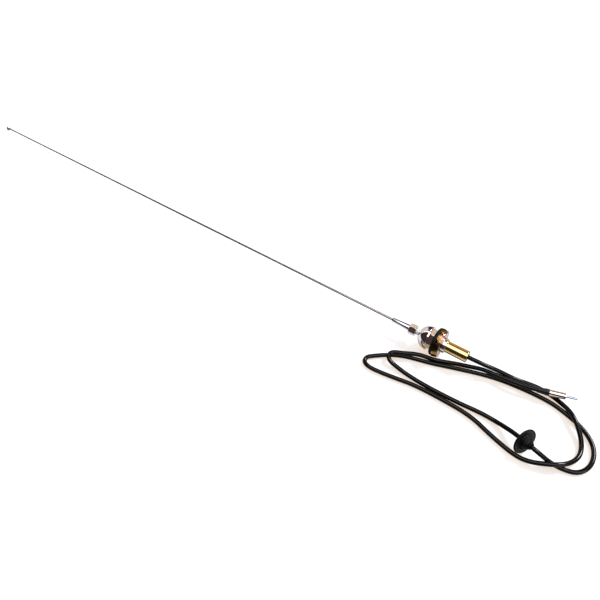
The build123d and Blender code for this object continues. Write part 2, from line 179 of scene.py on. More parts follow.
class Shader(Graph):
    """A material with one Principled surface and the patterns that the finishes share."""

    def __init__(self, name: str, **fixed: float) -> None:
        """Start a material.

        Args:
            name: material name.
            fixed: constant sockets of the surface, with underscores for spaces.
        """
        self.material = bpy.data.materials.new(name)
        self.material.use_nodes = True
        super().__init__(self.material.node_tree)
        self.tree.nodes.clear()
        constants = {key.replace("_", " "): value for key, value in fixed.items()}
        self.surface = self.add("ShaderNodeBsdfPrincipled", constants)
        self.add("ShaderNodeOutputMaterial", {"Surface": self.surface.outputs["BSDF"]})
        self.place = self.add("ShaderNodeTexCoord").outputs["Object"]

    def stretched(self, scale: Triple, turn: Triple = (0.0, 0.0, 0.0)) -> Socket:
        """Object coordinates with their own scale and turn in radians."""
        inputs = {"Scale": scale, "Rotation": turn, "Vector": self.place}
        return self.add("ShaderNodeMapping", inputs, vector_type="POINT").outputs["Vector"]

    def noise(self, scale: float, detail: float = 3.0, rough: float = 0.5,
              place: Socket | None = None) -> Socket:
        """A noise pattern.

        Args:
            scale: cells in each metre.
            detail: octaves.
            rough: share of the finer octaves.
            place: coordinates, or None for plain object coordinates.

        Returns:
            The value socket, 0 to 1.
        """
        inputs = {"Scale": scale, "Detail": detail, "Roughness": rough, "Vector": place or self.place}
        return self.add("ShaderNodeTexNoise", inputs).outputs["Fac"]

    def spread(self, value: Socket, low: float, high: float, start: float = 0.3, end: float = 0.7) -> Socket:
        """Map a pattern's middle range to low..high.

        Args:
            value: pattern socket.
            low: result at start.
            high: result at end.
            start: pattern value for low.
            end: pattern value for high.

        Returns:
            The mapped value socket.
        """
        inputs = {"Value": value, "From Min": start, "From Max": end, "To Min": low, "To Max": high}
        return self.add("ShaderNodeMapRange", inputs).outputs["Result"]

    def drive(self, name: str, value: Socket) -> None:
        """Link a pattern to one of the surface's sockets."""
        self.tree.links.new(value, self.surface.inputs[name])

    def bump(self, height: Socket, depth: float, strength: float) -> None:
        """Raise the surface by a pattern, by depth metres for a value of 1."""
        node = self.add("ShaderNodeBump", {"Height": height, "Distance": depth, "Strength": strength})
        self.drive("Normal", node.outputs["Normal"])


# ----- finishes


class Finish(Protocol):
    """A named look that can make its own material."""

    name: str

    def build(self) -> bpy.types.Material:
        """Make the material."""


@dataclass(frozen=True)
class PlatedFinish:
    """Bright plating over smooth metal, with faint handling marks."""

    name: str
    colour: Triple
    tint: Triple
    smooth: float
    dull: float

    def build(self) -> bpy.types.Material:
        """Make the material.

        Returns:
            The material.
        """
        shader = Shader(self.name, Metallic=1.0)
        cloud = shader.noise(160.0, detail=5.0, rough=0.6)
        shader.drive("Base Color", shader.ramp(cloud, ((0.35, self.tint), (0.65, self.colour))))
        wipe = shader.noise(900.0, detail=4.0, rough=0.65, place=shader.stretched((0.35, 1.0, 1.0)))
        shader.drive("Roughness", shader.spread(wipe, self.smooth, self.dull, start=0.45, end=0.8))
        shader.bump(shader.noise(420.0, detail=2.0), depth=0.00002, strength=0.25)
        return shader.material


@dataclass(frozen=True)
class DrawnRodFinish:
    """Ground stainless rod: fine lines round it and a slightly brown tone."""

    name: str = "ground_stainless"
    light: Triple = (0.60, 0.55, 0.49)
    dark: Triple = (0.40, 0.35, 0.31)

    def build(self) -> bpy.types.Material:
        """Make the material.

        Returns:
            The material.
        """
        shader = Shader(self.name, Metallic=1.0)
        rings = shader.noise(1.0, rough=0.6, place=shader.stretched((5200.0, 300.0, 300.0)))
        stain = shader.noise(22.0, detail=4.0, rough=0.6)
        shader.drive("Base Color", shader.ramp(stain, ((0.3, self.dark), (0.7, self.light))))
        shader.drive("Roughness", shader.spread(rings, 0.14, 0.34))
        shader.bump(rings, depth=0.000012, strength=0.5)
        return shader.material


@dataclass(frozen=True)
class PassivatedZincFinish:
    """Yellow passivated zinc: a gold film that drifts to olive, pink and green."""

    name: str
    film: Film
    scale: float = 130.0
    smooth: float = 0.05
    dull: float = 0.12

    def build(self) -> bpy.types.Material:
        """Make the material.

        Returns:
            The material.
        """
        shader = Shader(self.name, Metallic=1.0)
        turned_place = shader.stretched((1.0, 1.0, 1.0), turn=(0.4, 0.2, 0.3))
        drift = shader.noise(self.scale, rough=0.55, place=turned_place)
        shader.drive("Base Color", shader.ramp(drift, self.film))
        grain = shader.noise(2600.0, rough=0.6)
        shader.drive("Roughness", shader.spread(grain, self.smooth, self.dull))
        shader.bump(grain, depth=0.000012, strength=0.3)
        return shader.material


@dataclass(frozen=True)
class RubberFinish:
    """Moulded black rubber with a fine matt grain and a grey bloom."""

    name: str
    deep: Triple
    bloom: Triple
    rough: float = 0.36
    worn: float = 0.52
    shine: float = 0.16

    def build(self) -> bpy.types.Material:
        """Make the material.

        Returns:
            The material.
        """
        shader = Shader(self.name, Specular_IOR_Level=self.shine)
        bloom = shader.noise(260.0, detail=5.0, rough=0.6)
        shader.drive("Base Color", shader.ramp(bloom, ((0.40, self.deep), (0.78, self.bloom))))
        shader.drive("Roughness", shader.spread(bloom, self.rough, self.worn))
        shader.bump(shader.noise(5200.0, detail=2.0), depth=0.00002, strength=0.3)
        return shader.material


@dataclass(frozen=True)
class SheathFinish:
    """Glossy extruded cable sheath with faint scuffs."""

    name: str
    deep: Triple
    worn: Triple
    gloss: float = 0.11
    scuffed: float = 0.17
    shine: float = 0.26

    def build(self) -> bpy.types.Material:
        """Make the material.

        Returns:
            The material.
        """
        shader = Shader(self.name, Specular_IOR_Level=self.shine)
        scuff = shader.noise(240.0, detail=5.0, rough=0.62)
        shader.drive("Base Color", shader.ramp(scuff, ((0.55, self.deep), (0.85, self.worn))))
        shader.drive("Roughness", shader.spread(scuff, self.gloss, self.scuffed, start=0.45, end=0.8))
        shader.bump(shader.noise(150.0, detail=2.0), depth=0.00002, strength=0.2)
        return shader.material


@dataclass(frozen=True)
class MouldedPlasticFinish:
    """Moulded plastic with a faint mould texture and flow marks."""

    name: str
    base: Triple
    flow: Triple
    rough: float = 0.40
    spread: float = 0.14
    shine: float = 0.30

    def build(self) -> bpy.types.Material:
        """Make the material.

        Returns:
            The material.
        """
        shader = Shader(self.name, Specular_IOR_Level=self.shine)
        flow = shader.noise(180.0, detail=4.0, rough=0.55)
        shader.drive("Base Color", shader.ramp(flow, ((0.35, self.base), (0.7, self.flow))))
        shader.drive("Roughness", shader.spread(flow, self.rough, self.rough + self.spread))
        shader.bump(shader.noise(3800.0, detail=2.0), depth=0.00002, strength=0.4)
        return shader.material


GOLD_FILM = (
    (0.26, (0.62, 0.47, 0.16)),
    (0.40, (0.84, 0.60, 0.22)),
    (0.50, (0.88, 0.70, 0.30)),
    (0.60, (0.84, 0.54, 0.34)),
    (0.70, (0.66, 0.64, 0.28)),
    (0.80, (0.70, 0.48, 0.20)),
)
OLIVE_FILM = (
    (0.30, (0.11, 0.11, 0.02)),
    (0.42, (0.17, 0.13, 0.03)),
    (0.50, (0.28, 0.17, 0.05)),
    (0.56, (0.62, 0.30, 0.20)),
    (0.62, (0.58, 0.32, 0.31)),
    (0.70, (0.26, 0.36, 0.18)),
)
FINISHES: dict[Slot, Finish] = {
    Slot.ROD: DrawnRodFinish(),
    Slot.CHROME: PlatedFinish("bright_chrome_plate", (0.90, 0.90, 0.91), (0.83, 0.83, 0.85), 0.02, 0.07),
    Slot.RUBBER: RubberFinish("moulded_rubber", (0.003, 0.003, 0.003), (0.010, 0.0095, 0.009)),
    Slot.ZINC: PassivatedZincFinish("yellow_passivated_zinc", GOLD_FILM),
    Slot.STEEL: PlatedFinish("bright_zinc_plate", (0.86, 0.86, 0.88), (0.74, 0.74, 0.77), 0.10, 0.22),
    Slot.INSULATOR: MouldedPlasticFinish("natural_nylon", (0.80, 0.79, 0.74), (0.86, 0.85, 0.80)),
    Slot.JACKET: SheathFinish("black_cable_sheath", (0.0022, 0.0022, 0.0025), (0.006, 0.006, 0.0065)),
    Slot.DIELECTRIC: MouldedPlasticFinish("foamed_dielectric", (0.86, 0.86, 0.83), (0.90, 0.90, 0.88), 0.5),
    Slot.COPPER: PlatedFinish("bare_copper_wire", (0.80, 0.45, 0.28), (0.62, 0.32, 0.20), 0.15, 0.35),
    Slot.BOOT: MouldedPlasticFinish("black_moulded_boot", (0.003, 0.003, 0.003), (0.009, 0.009, 0.010), 0.30),
    Slot.NICKEL: PlatedFinish("nickel_plate", (0.90, 0.87, 0.82), (0.82, 0.77, 0.70), 0.04, 0.12),
}
PIN_FINISH = PlatedFinish("cool_silver_plate", (0.66, 0.70, 0.84), (0.52, 0.55, 0.72), 0.05, 0.14)
CLAW_FINISH = PassivatedZincFinish("olive_passivated_zinc", OLIVE_FILM, 90.0, 0.10, 0.20)


class Palette:
    """Builds each finish once and hands it out by its name."""

    def __init__(self) -> None:
        """Start with nothing built."""
        self.made: dict[str, bpy.types.Material] = {}

    def get(self, finish: Finish) -> bpy.types.Material:
        """The material of a finish.

        Args:
            finish: one of the finishes above.

        Returns:
            The material.
        """
        if finish.name not in self.made:
            self.made[finish.name] = finish.build()
        return self.made[finish.name]

    def paint(self, obj: bpy.types.Object, slot: Slot, finish: Finish | None = None) -> None:
        """Give an object its slot's finish, or another one, over its whole surface."""
        obj.data.materials.clear()
        obj.data.materials.append(self.get(finish or FINISHES[slot]))


# ----- frames and meshes


def axis_frame() -> Matrix:
    """Matrix from the mast's own axis to the part's frame, in metres."""
    return Matrix.Translation(SEAT) @ Matrix.Rotation(-TILT, 4, "Y")


def local_frame(place: Triple, heading: float, lean: float = 0.0) -> Matrix:
    """Frame of a piece on the lead.

    Args:
        place: origin in mm, x and y from the seat and z from the floor.
        heading: direction of its X axis in degrees.
        lean: rise of its X axis in degrees.

    Returns:
        The matrix, in metres.
    """
    origin = Vector((SEAT.x, 0.0, 0.0)) + Vector(place) * MM
    turn = Matrix.Rotation(math.radians(heading), 4, "Z")
    return Matrix.Translation(origin) @ turn @ Matrix.Rotation(-math.radians(lean), 4, "Y")


def evenly(start: Pair, end: Pair, steps: int) -> list[Corner]:
    """Corners with no fillet at equal steps of a straight run, with both its ends."""
    shares = [step / steps for step in range(steps + 1)]
    return [(start[0] + (end[0] - start[0]) * k, start[1] + (end[1] - start[1]) * k, 0.0) for k in shares]


def arc_points(centre: float, radius: float, start: float, end: float, steps: int) -> list[Corner]:
    """Corners with no fillet along an arc about a point of the axis.

    Args:
        centre: place of the centre along the axis.
        radius: arc radius.
        start: first angle from the axis, in degrees, where 0 is towards lower s.
        end: last angle.
        steps: parts of the arc.

    Returns:
        The corners.
    """
    angles = [math.radians(start + (end - start) * step / steps) for step in range(steps + 1)]
    return [(centre - radius * math.cos(angle), radius * math.sin(angle), 0.0) for angle in angles]


def moved(s: float, r: float, corners: tuple[Corner, ...]) -> list[Corner]:
    """Corners that are given from a point of the outline."""
    return [(s + along, r + out, fillet) for along, out, fillet in corners]


def rounded(corners: list[Corner], steps: int = 5, straight: float = 89.0) -> list[Pair]:
    """A closed outline whose corners are turned into arcs.

    Args:
        corners: s, r and fillet of each corner.
        steps: parts of each arc.
        straight: half angle in degrees above which a corner has nothing to round.

    Returns:
        The outline's points.
    """
    outline: list[Pair] = []
    for index, (s, r, fillet) in enumerate(corners):
        here = Vector((s, r))
        before = Vector(corners[index - 1][:2]) - here
        after = Vector(corners[(index + 1) % len(corners)][:2]) - here
        half = before.angle(after) / 2 if fillet > 0 else math.pi
        if half > math.radians(straight):
            outline.append((s, r))
            continue
        before.normalize()
        after.normalize()
        back = fillet / math.tan(half)
        middle = here + (before + after).normalized() * (fillet / math.sin(half))
        first, last = here + before * back - middle, here + after * back - middle
        sweep = first.angle(last)
        for step in range(steps + 1):
            share = step / steps
            arm = first * math.sin((1 - share) * sweep) + last * math.sin(share * sweep)
            outline.append(tuple(middle + arm / math.sin(sweep)))
    return outline


def braced(outline: list[Pair], inset: float = 0.22) -> list[Pair]:
    """Put a point near both ends of each long run, so that its shading stays straight.

    Args:
        outline: closed outline.
        inset: distance from a run's ends.

    Returns:
        The outline with the added points.
    """
    result = []
    for start, end in zip(outline, outline[1:] + outline[:1]):
        result.append(start)
        length = math.dist(start, end)
        if length > 5 * inset:
            for share in (inset / length, 1 - inset / length):
                result.append(tuple(a + (b - a) * share for a, b in zip(start, end)))
    return result


@dataclass(frozen=True)
class Hexagon:
    """Flats cut on a turning between two places along its axis, just clear of both."""

    flats: float
    corner_turn: float
    start: float
    end: float
    clear: float = 0.01
    sector: float = 60.0

    def cut(self, s: float, r: float, angle: float) -> float:
        """Radius that the flats leave.

        Args:
            s: place along the axis.
            r: radius before the cut.
            angle: direction round the axis in radians.

        Returns:
            The radius.
        """
        if not self.start + self.clear <= s <= self.end - self.clear:
            return r
        half = self.sector / 2
        off = (math.degrees(angle) - self.corner_turn + half) % self.sector - half
        return min(r, self.flats / 2 / math.cos(math.radians(half - abs(off))))


def turned(name: str, corners: list[Corner], segments: int = 96,
           hexagon: Hexagon | None = None) -> bpy.types.Mesh:
    """Turn a closed outline about the X axis.

    Args:
        name: mesh name.
        corners: s, r and fillet of each corner.
        segments: parts of the circle.
        hexagon: flats to cut, or None for a plain turning.

    Returns:
        The mesh, in mm.
    """
    work = bmesh.new()
    rings: list[list[bmesh.types.BMVert]] = []
    for s, r in braced(rounded(corners)):
        if r < ON_AXIS:
            rings.append([work.verts.new((s, 0.0, 0.0))] * segments)
            continue
        ring = []
        for step in range(segments):
            angle = 2 * math.pi * step / segments
            reach = hexagon.cut(s, r, angle) if hexagon else r
            ring.append(work.verts.new((s, reach * math.cos(angle), reach * math.sin(angle))))
        rings.append(ring)
    for one, two in zip(rings, rings[1:] + rings[:1]):
        for step in range(segments):
            after = (step + 1) % segments
            edge = tuple(dict.fromkeys((one[step], one[after], two[after], two[step])))
            if len(edge) > 2:
                work.faces.new(edge)
    mesh = bpy.data.meshes.new(name)
    work.to_mesh(mesh)
    work.free()
    return mesh


def finish_mesh(mesh: bpy.types.Mesh, place: Matrix, sharp: float = 32.0) -> bpy.types.Mesh:
    """Close a mesh, turn its faces outwards, place it and set its smooth and sharp edges.

    Args:
        mesh: mesh in mm on its own axis.
        place: frame of the axis, in metres.
        sharp: angle in degrees above which an edge stays sharp.

    Returns:
        The same mesh.
    """
    work = bmesh.new()
    work.from_mesh(mesh)
    bmesh.ops.remove_doubles(work, verts=work.verts, dist=WELD)
    bmesh.ops.recalc_face_normals(work, faces=work.faces)
    bmesh.ops.transform(work, matrix=place @ Matrix.Scale(MM, 4), verts=work.verts)
    work.to_mesh(mesh)
    work.free()
    mesh.shade_smooth()
    mesh.set_sharp_from_angle(angle=math.radians(sharp))
    return mesh


def placed(name: str, data: bpy.types.ID) -> bpy.types.Object:
    """Put a mesh, curve, lamp or camera in the scene.

    Args:
        name: object name.
        data: what the object shows.

    Returns:
        The object.
    """
    obj = bpy.data.objects.new(name, data)
    bpy.context.scene.collection.objects.link(obj)
    return obj


class Bench:
    """Turns finished meshes into pieces: dressed, riding on a body and standing for their nodes."""

    def __init__(self, palette: Palette) -> None:
        """Keep the palette.

        Args:
            palette: the finishes.
        """
        self.palette = palette

    def piece(self, mesh: bpy.types.Mesh, body: str, slot: Slot, node: str = "",
              finish: Finish | None = None) -> bpy.types.Object:
        """Make a piece of a mesh.

        Args:
            mesh: mesh in the part's frame.
            body: body that it rides on.
            slot: record slot.
            node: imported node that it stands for, or nothing.
            finish: a finish other than the slot's usual one.

        Returns:
            The piece.
        """
        obj = placed(mesh.name, mesh)
        self.palette.paint(obj, slot, finish)
        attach(obj, body)
        if node:
            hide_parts(node)
        LOG.info("%s rides on %s", obj.name, body)
        return obj

    def grown(self, name: str, seed: bpy.types.Mesh, tree: bpy.types.NodeTree,
              values: dict[str, object]) -> bpy.types.Mesh:
        """Run a geometry tree on a seed mesh and keep its result as a plain mesh.

        Args:
            name: mesh name.
            seed: mesh that the tree starts from.
            tree: geometry tree.
            values: the tree's inputs by name.

        Returns:
            The plain mesh.
        """
        holder = placed(name + "_seed", seed)
        modifier = holder.modifiers.new("grow", "NODES")
        modifier.node_group = tree
        for item in tree.interface.items_tree:
            if item.item_type == "SOCKET" and item.in_out == "INPUT" and item.name in values:
                modifier[item.identifier] = values[item.name]
        holder.update_tag()
        bpy.context.view_layer.update()
        shaped = holder.evaluated_get(bpy.context.evaluated_depsgraph_get())
        mesh = bpy.data.meshes.new_from_object(shaped)
        mesh.name = name
        holder.modifiers.clear()
        bpy.data.objects.remove(holder)
        return mesh


# ----- geometry trees


class GrowTree(Graph):
    """A geometry tree with named inputs that ends in real geometry with its material set."""

    def __init__(self, name: str, inputs: dict[str, str]) -> None:
        """Start a tree.

        Args:
            name: tree name.
            inputs: socket type of each input by its name.
        """
        super().__init__(bpy.data.node_groups.new(name, "GeometryNodeTree"))
        face = self.tree.interface
        kinds = {"Geometry": "NodeSocketGeometry", **inputs, "Material": "NodeSocketMaterial"}
        for label, kind in kinds.items():
            face.new_socket(label, in_out="INPUT", socket_type=kind)
        face.new_socket("Geometry", in_out="OUTPUT", socket_type="NodeSocketGeometry")
        self.given = self.add("NodeGroupInput").outputs

    def close(self, geometry: Socket) -> bpy.types.NodeTree:
        """End the tree in Realize Instances and Set Material.

        Args:
            geometry: last geometry socket.

        Returns:
            The tree.
        """
        real = self.add("GeometryNodeRealizeInstances", {"Geometry": geometry}).outputs[0]
        inputs = {"Geometry": real, "Material": self.given["Material"]}
        self.add("NodeGroupOutput", {0: self.add("GeometryNodeSetMaterial", inputs).outputs[0]})
        return self.tree


def ring_array_tree() -> bpy.types.NodeTree:
    """Copies of the seed set round the X axis at equal angles.

    Returns:
        The tree, with Count and First Angle.
    """
    grow = GrowTree("ring_array", {"Count": "NodeSocketInt", "First Angle": "NodeSocketFloat"})
    given = grow.given
    line = {"Count": given["Count"], "Offset": (0.0, 0.0, 0.0)}
    points = grow.add("GeometryNodeMeshLine", line, mode="OFFSET").outputs[0]
    index = grow.add("GeometryNodeInputIndex").outputs[0]
    step = grow.maths("DIVIDE", 2 * math.pi, given["Count"])
    angle = grow.maths("ADD", grow.maths("MULTIPLY", index, step), given["First Angle"])
    euler = grow.add("ShaderNodeCombineXYZ", {"X": angle}).outputs[0]
    turn = grow.add("FunctionNodeEulerToRotation", {0: euler}).outputs[0]
    copies = {"Points": points, "Instance": given["Geometry"], "Rotation": turn}
    return grow.close(grow.add("GeometryNodeInstanceOnPoints", copies).outputs[0])


def thread_tree() -> bpy.types.NodeTree:
    """A helical ridge round Z whose ends run out.

    Returns:
        The tree, with Turns, Pitch, Pitch Radius and Ridge.
    """
    names = ("Turns", "Pitch", "Pitch Radius", "Ridge")
    grow = GrowTree("helical_ridge", {name: "NodeSocketFloat" for name in names})
    given = grow.given
    helix = grow.add("GeometryNodeCurveSpiral", {
        "Resolution": 40, "Rotations": given["Turns"], "Start Radius": given["Pitch Radius"],
        "End Radius": given["Pitch Radius"], "Height": grow.maths("MULTIPLY", given["Turns"], given["Pitch"])})
    upright = grow.add("GeometryNodeSetCurveNormal", {"Curve": helix.outputs[0]}, mode="Z_UP")
    along = grow.add("GeometryNodeSplineParameter").outputs["Factor"]
    nearest_end = grow.maths("MINIMUM", along, grow.maths("SUBTRACT", 1.0, along))
    fade = grow.maths("MULTIPLY", nearest_end, grow.maths("MULTIPLY", given["Turns"], 2.0))
    radius = grow.maths("MAXIMUM", grow.maths("MINIMUM", fade, 1.0), 0.05)
    tapered = grow.add("GeometryNodeSetCurveRadius", {"Curve": upright.outputs[0], "Radius": radius})
    section = grow.add("GeometryNodeCurvePrimitiveCircle", {"Resolution": 4, "Radius": given["Ridge"]})
    ridge = grow.add("GeometryNodeCurveToMesh", {
        "Curve": tapered.outputs[0], "Profile Curve": section.outputs[0], "Fill Caps": True})
    return grow.close(ridge.outputs[0])


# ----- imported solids


@dataclass
class PackedPieces:
    """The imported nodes, each with the finish of its slot."""

    palette: Palette
    frame: dict

    def dress(self) -> None:
        """Give every node the finish of its slot in the record."""
        slots = {entry["node"]: entry["material_slot"] for entry in self.frame["record"]["subparts"]}
        for name, obj in self.frame["nodes"].items():
            self.palette.paint(obj, Slot(slots[name]))
            LOG.info("finish of %s is %s", name, slots[name])


# ----- pieces on the mast's axis


@dataclass
class Mast:
    """Rod, tip ball and ferrule."""

    bench: Bench
    ball_radius: float = 3.0
    ball_centre: float = -815.182
    spigot_radius: float = 0.8
    spigot_start: float = -0.2
    spigot_end: float = 2.7
    rod_tip: float = 1.0
    rod_base: float = 1.6
    mouth: float = -62.182
    mouth_radius: float = 2.85
    socket: float = 16.0
    base: float = -38.182
    base_radius: float = 4.05
    neck_radius: float = 3.1
    flange_top: float = -36.482
    flange_end: float = -34.582
    flange_radius: float = 4.4
    fit: float = 0.03
    overlap: float = 0.1

    def build(self) -> None:
        """Make the mast's three pieces."""
        place = axis_frame()
        start, end = self.ball_centre + self.spigot_start, self.ball_centre + self.spigot_end
        foot, spigot = self.mouth + self.socket, self.spigot_radius
        rod = [(start, 0.0, 0.0), (start, spigot, 0.0), (end, spigot, 0.0)]
        rod += evenly((end, self.rod_tip), (self.mouth, self.rod_base), 24)
        rod += [(foot, self.rod_base, 0.0), (foot, 0.0, 0.0)]
        self.bench.piece(finish_mesh(turned("tapered_rod", rod, 40), place), "mast", Slot.ROD, "mast_rod")

        hole, bore = self.rod_tip + self.fit, spigot + self.fit
        ring = math.degrees(math.asin(hole / self.ball_radius))
        ball = arc_points(self.ball_centre, self.ball_radius, 0.0, 180.0 - ring, 28)
        ball += [(end - self.overlap, hole, 0.0), (end - self.overlap, bore, 0.0),
                 (start - self.overlap, bore, 0.0), (start - self.overlap, 0.0, 0.0)]
        self.bench.piece(finish_mesh(turned("corrosion_ball", ball, 56), place), "mast", Slot.ROD, "tip_ball")

        bore = self.rod_base + self.fit
        cone = [(self.mouth, bore, 0.0), (self.mouth, self.mouth_radius, 0.55),
                (self.base, self.base_radius, 0.5), (self.base, self.neck_radius, 0.0),
                (self.flange_top, self.neck_radius, 0.0), (self.flange_top, self.flange_radius, 0.2),
                (self.flange_end, self.flange_radius, 0.2), (self.flange_end, 0.0, 0.0),
                (foot, 0.0, 0.0), (foot, bore, 0.0)]
        self.bench.piece(finish_mesh(turned("ferrule_cone", cone), place), "mast", Slot.CHROME, "mast_ferrule")


@dataclass
class CouplingNut:
    """Hexagon that holds the ferrule on the stud, with turned chamfers."""

    bench: Bench
    top: float = -38.082
    bottom: float = -28.682
    flats: float = 12.4
    corner_turn: float = 45.0
    chamfer: float = 0.75
    chamfer_drop: float = 0.16
    face_inset: float = 0.1
    corner_relief: float = 0.02
    lip_radius: float = 3.15
    lip: float = 1.5
    counterbore: float = 4.5
    thread_top: float = -34.382
    thread_radius: float = 2.55
    thread_chamfer: float = 0.2

    def build(self) -> None:
        """Make the nut."""
        top, bottom, thread = self.top, self.bottom, self.thread_radius
        corner = self.flats / math.sqrt(3)
        inner, outer = self.flats / 2 - self.face_inset, corner - self.chamfer_drop
        outline = [(top, self.lip_radius, 0.0)]
        outline += evenly((top, inner), (top + self.chamfer, outer), CHAMFER_STEPS)
        outline.append(((top + bottom) / 2, corner - self.corner_relief, 0.0))
        outline += evenly((bottom - self.chamfer, outer), (bottom, inner), CHAMFER_STEPS)
        outline += [(bottom, thread + self.thread_chamfer, 0.0), (bottom - self.thread_chamfer, thread, 0.0),
                    (self.thread_top, thread, 0.0), (self.thread_top, self.counterbore, 0.0),
                    (top + self.lip, self.counterbore, 0.0), (top + self.lip, self.lip_radius, 0.0)]
        hexagon = Hexagon(self.flats, self.corner_turn, top, bottom)
        mesh = finish_mesh(turned("gland_nut", outline, HEX_SEGMENTS, hexagon), axis_frame(), HEX_SHARP)
        self.bench.piece(mesh, "nut", Slot.CHROME, "coupling_nut")


@dataclass
class CapNut:
    """Polished dome over a hexagon, with a rolled rim."""

    bench: Bench
    seat: float = -4.6
    flats: float = 22.0
    corner_turn: float = 45.0
    chamfer: float = 0.65
    foot: float = 0.15
    foot_inset: float = 0.4
    hex_top: float = -10.2
    hex_land: float = 0.02
    dome_centre: float = -11.0
    dome_radius: float = 15.3
    dome_steps: int = 44
    skin: float = 0.25
    rim_bead: float = 0.1
    rim: tuple[Corner, ...] = ((0.0, 0.0, 0.25), (0.0, -0.45, 0.1))
    first_ring: float = 88.0
    last_ring: float = 1.2
    neck_hole: float = 3.55
    neck_edge: tuple[Corner, ...] = ((0.02, 0.12, 0.0), (0.15, 0.0, 0.0))
    thread_radius: float = 8.05
    thread_top: float = -16.6
    cavity_radius: float = 6.7
    cavity_top: float = -21.2
    seal_radius: float = 5.2
    seal_top: float = -23.4

    def build(self) -> None:
        """Make the cap."""
        corner, foot = self.flats / math.sqrt(3), self.seat - self.foot
        flat, chamfered = self.flats / 2 - self.foot, corner - self.foot
        opening = math.degrees(math.asin(self.neck_hole / self.dome_radius))
        crown = self.dome_centre - self.dome_radius * math.cos(math.radians(opening))
        outline = [(self.seat, self.thread_radius, 0.0), (self.seat, self.flats / 2 - self.foot_inset, 0.0)]
        outline += evenly((foot, flat), (foot - self.chamfer, chamfered), CHAMFER_STEPS)
        outline += [(self.hex_top + self.hex_land, corner, 0.0), (self.hex_top, corner, 0.0),
                    (self.hex_top, self.dome_radius, 0.3)]
        outline += moved(self.dome_centre - self.rim_bead, self.dome_radius, self.rim)
        outline += arc_points(self.dome_centre, self.dome_radius - self.skin, self.first_ring,
                              opening + self.last_ring, self.dome_steps)
        outline += moved(crown, self.neck_hole, self.neck_edge)
        outline += [(self.seal_top, self.neck_hole, 0.0), (self.seal_top, self.seal_radius, 0.0),
                    (self.cavity_top, self.seal_radius, 0.0), (self.cavity_top, self.cavity_radius, 0.0),
                    (self.thread_top, self.cavity_radius, 0.0), (self.thread_top, self.thread_radius, 0.0)]
        hexagon = Hexagon(self.flats, self.corner_turn, self.hex_top, self.seat)
        mesh = finish_mesh(turned("domed_cap", outline, HEX_SEGMENTS, hexagon), axis_frame(), HEX_SHARP)
        self.bench.piece(mesh, "cap", Slot.CHROME, "cap_nut")


@dataclass
class SeatGasket:
    """Rubber ring under the cap, chamfered towards it."""

    bench: Bench
    radius: float = 17.8
    thickness: float = 4.6
    bore: float = 8.1
    chamfer: float = 1.7
    rim_share: float = 0.62

    def build(self) -> None:
        """Make the ring."""
        top = -self.thickness
        outline = [(0.0, self.bore, 0.2), (0.0, self.radius, 0.7), (top * self.rim_share, self.radius, 0.8),
                   (top, self.radius - self.chamfer, 0.7), (top, self.bore, 0.2)]
        mesh = finish_mesh(turned("panel_gasket", outline, 120), axis_frame())
        self.bench.piece(mesh, "seal", Slot.RUBBER, "seat_gasket")


@dataclass
class ThreadedBody:
    """Hollow body: threaded barrel, collar and spigot."""

    bench: Bench
    top: float = -15.6
    thread_radius: float = 8.0
    pitch: float = 1.5
    ridge: float = 0.69
    chamfer: float = 0.5
    lead_in: float = 0.6
    lead_out: float = 1.8
    shoulder: Pair = (1.4, 1.2)
    bore: float = 5.3
    collar_top: float = 6.6
    collar_bottom: float = 11.8
    collar_radius: float = 9.3
    spigot_end: float = 17.8
    spigot_radius: float = 6.3

    def build(self) -> None:
        """Make the body and its thread."""
        core = self.thread_radius - self.ridge
        rise, land = (self.collar_top - below for below in self.shoulder)
        outline = [(self.top, self.bore, 0.0), (self.top, core - self.chamfer, 0.0),
                   (self.top + self.chamfer, core, 0.0), (rise, core, 0.0),
                   (land, self.thread_radius, 0.0), (self.collar_top, self.thread_radius, 0.0),
                   (self.collar_top, self.collar_radius, 0.5), (self.collar_bottom, self.collar_radius, 0.5),
                   (self.collar_bottom, self.spigot_radius, 0.0), (self.spigot_end, self.spigot_radius, 0.0),
                   (self.spigot_end, self.bore, 0.0)]
        mesh = finish_mesh(turned("hollow_body", outline), axis_frame())
        self.bench.piece(mesh, "base", Slot.STEEL, "threaded_body")

        start = self.top + self.lead_in
        turns = (self.collar_top - self.lead_out - start) / self.pitch
        values = {"Turns": turns, "Pitch": self.pitch, "Pitch Radius": core, "Ridge": self.ridge,
                  "Material": self.bench.palette.get(FINISHES[Slot.STEEL])}
        seed = bpy.data.meshes.new("body_thread_seed")
        spiral = self.bench.grown("body_thread", seed, thread_tree(), values)
        spiral.transform(Matrix.Translation((start, 0, 0)) @ Matrix.Rotation(math.pi / 2, 4, "Y"))
        self.bench.piece(finish_mesh(spiral, axis_frame(), 40.0), "base", Slot.STEEL)


